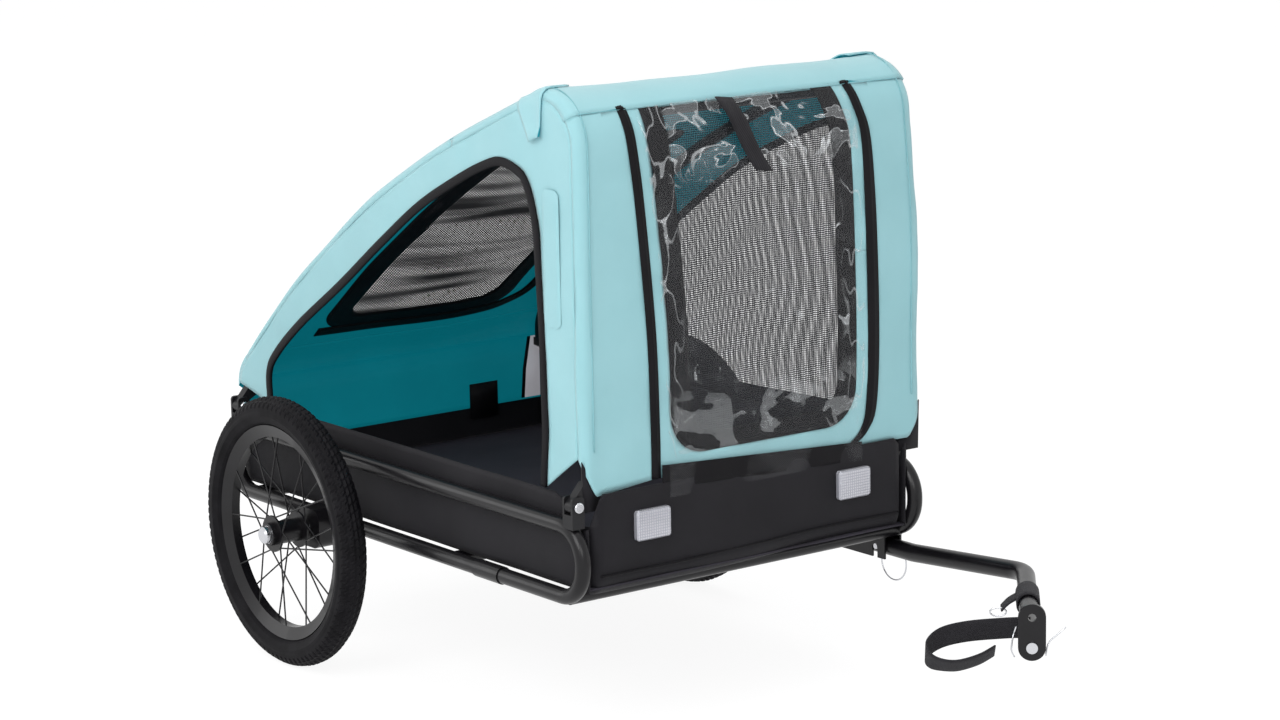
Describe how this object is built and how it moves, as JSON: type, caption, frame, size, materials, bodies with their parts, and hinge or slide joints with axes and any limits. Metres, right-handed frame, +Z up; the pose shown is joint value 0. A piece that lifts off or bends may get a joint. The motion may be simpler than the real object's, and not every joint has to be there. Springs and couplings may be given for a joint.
{
  "type": "dog bike trailer",
  "caption": "Folding dog bike trailer: tube chassis, spoked wheels, aqua cloth cabin with mesh windows and a side tow bar.",
  "frame": {"origin": "middle of the trailer's footprint, on the ground under the tyres", "axes": "+X forward to the hitch, +Y to the left, +Z up"},
  "size_m": [1.4159, 0.8106, 0.8917],
  "materials": {
    "black_tube": "satin",
    "black_plastic": "matte",
    "bright_steel": "polished",
    "tyre_rubber": "matte",
    "aqua_cloth": "matte",
    "black_cloth": "matte",
    "black_mesh": "matte",
    "black_webbing": "matte",
    "clear_film": "gloss",
    "reflector_lens": "gloss"
  },
  "bodies": {
    "chassis": {"chassis_loop_right": "black_tube", "chassis_loop_left": "black_tube", "front_cross_tube": "black_tube", "middle_cross_tube": "black_tube", "axle_cross_tube": "black_tube", "rear_cross_tube": "black_tube", "rail_sleeves": "black_tube", "axle_bracket_right": "black_tube", "axle_bracket_left": "black_tube", "axle_right": "bright_steel", "axle_left": "bright_steel", "axle_nuts": "bright_steel", "hinge_brackets_right": "black_plastic", "hinge_brackets_left": "black_plastic", "hinge_pins": "bright_steel", "tub_side_right": "black_cloth", "tub_side_left": "black_cloth", "tub_front": "black_cloth", "tub_rear": "black_cloth", "floor_panel": "black_cloth", "reflectors": "reflector_lens", "roof_cover": "aqua_cloth", "front_cover": "aqua_cloth", "side_cover_right": "aqua_cloth", "side_cover_left": "aqua_cloth", "corner_flaps": "aqua_cloth", "front_mesh": "black_mesh", "rear_mesh": "black_mesh", "side_mesh_left": "black_mesh", "rain_flap": "clear_film", "roll_up_strap": "black_webbing", "tow_channel": "black_tube", "tow_pivot_bolt": "bright_steel"},
    "left_arch": {"arch_tube_left": "black_tube", "arch_feet_left": "black_plastic", "top_bar_lug": "black_tube"},
    "right_arch": {"arch_tube_right": "black_tube", "arch_feet_right": "black_plastic", "top_bar_rest": "black_tube"},
    "top_bar": {"top_bar": "black_tube"},
    "wheel_right": {"tyre_right": "tyre_rubber", "rim_right": "black_tube", "spokes_right": "black_tube", "hub_right": "black_tube", "bearings_right": "bright_steel"},
    "wheel_left": {"tyre_left": "tyre_rubber", "rim_left": "black_tube", "spokes_left": "black_tube", "hub_left": "black_tube", "bearings_left": "bright_steel"},
    "tow_arm": {"tow_tube": "black_tube", "tow_coupler": "black_plastic", "hitch_bolt": "bright_steel", "safety_strap": "black_webbing"},
    "lock_pin": {"tow_lock_pin": "bright_steel"},
    "hitch": {"hitch_plate": "black_tube"}
  },
  "joints": [
    {"name": "left_fold", "type": "hinge", "parent": "chassis", "child": "left_arch", "pos_m": [0, 0.293, 0.34], "axis": [1, 0, 0], "range_deg": [0, 95], "deforming": ["roof_cover", "front_cover", "front_mesh", "rear_mesh", "side_cover_right", "side_cover_left", "side_mesh_left", "rain_flap", "roll_up_strap", "corner_flaps"]},
    {"name": "right_fold", "type": "hinge", "parent": "chassis", "child": "right_arch", "pos_m": [0, -0.293, 0.34], "axis": [-1, 0, 0], "range_deg": [0, 76.1]},
    {"name": "top_bar_fold", "type": "hinge", "parent": "left_arch", "child": "top_bar", "pos_m": [0.13844, 0.244, 0.85158], "axis": [0.1736, 0, -0.9848], "range_deg": [0, 90.1]},
    {"name": "wheel_right_spin", "type": "hinge", "parent": "chassis", "child": "wheel_right", "pos_m": [-0.43956, -0.365, 0.2], "axis": [0, 1, 0], "continuous": true},
    {"name": "wheel_left_spin", "type": "hinge", "parent": "chassis", "child": "wheel_left", "pos_m": [-0.43956, 0.365, 0.2], "axis": [0, 1, 0], "continuous": true},
    {"name": "tow_fold", "type": "hinge", "parent": "chassis", "child": "tow_arm", "pos_m": [0.06544, 0.293, 0.18], "axis": [0, 1, 0], "range_deg": [0, 150]},
    {"name": "lock_pin_pull", "type": "slide", "parent": "tow_arm", "child": "lock_pin", "axis": [0, 1, 0], "range_m": [0, 0.05]},
    {"name": "hitch_swivel", "type": "hinge", "parent": "tow_arm", "child": "hitch", "pos_m": [0.69114, 0.06552, 0.18965], "axis": [0.7482, -0.663, -0.0243], "range_deg": [-90, 90]}
  ],
  "couplings": [
    {"joint": "right_fold", "follows": "left_fold", "ratio": 0.8},
    {"joint": "top_bar_fold", "follows": "left_fold", "ratio": 0.94737}
  ]
}
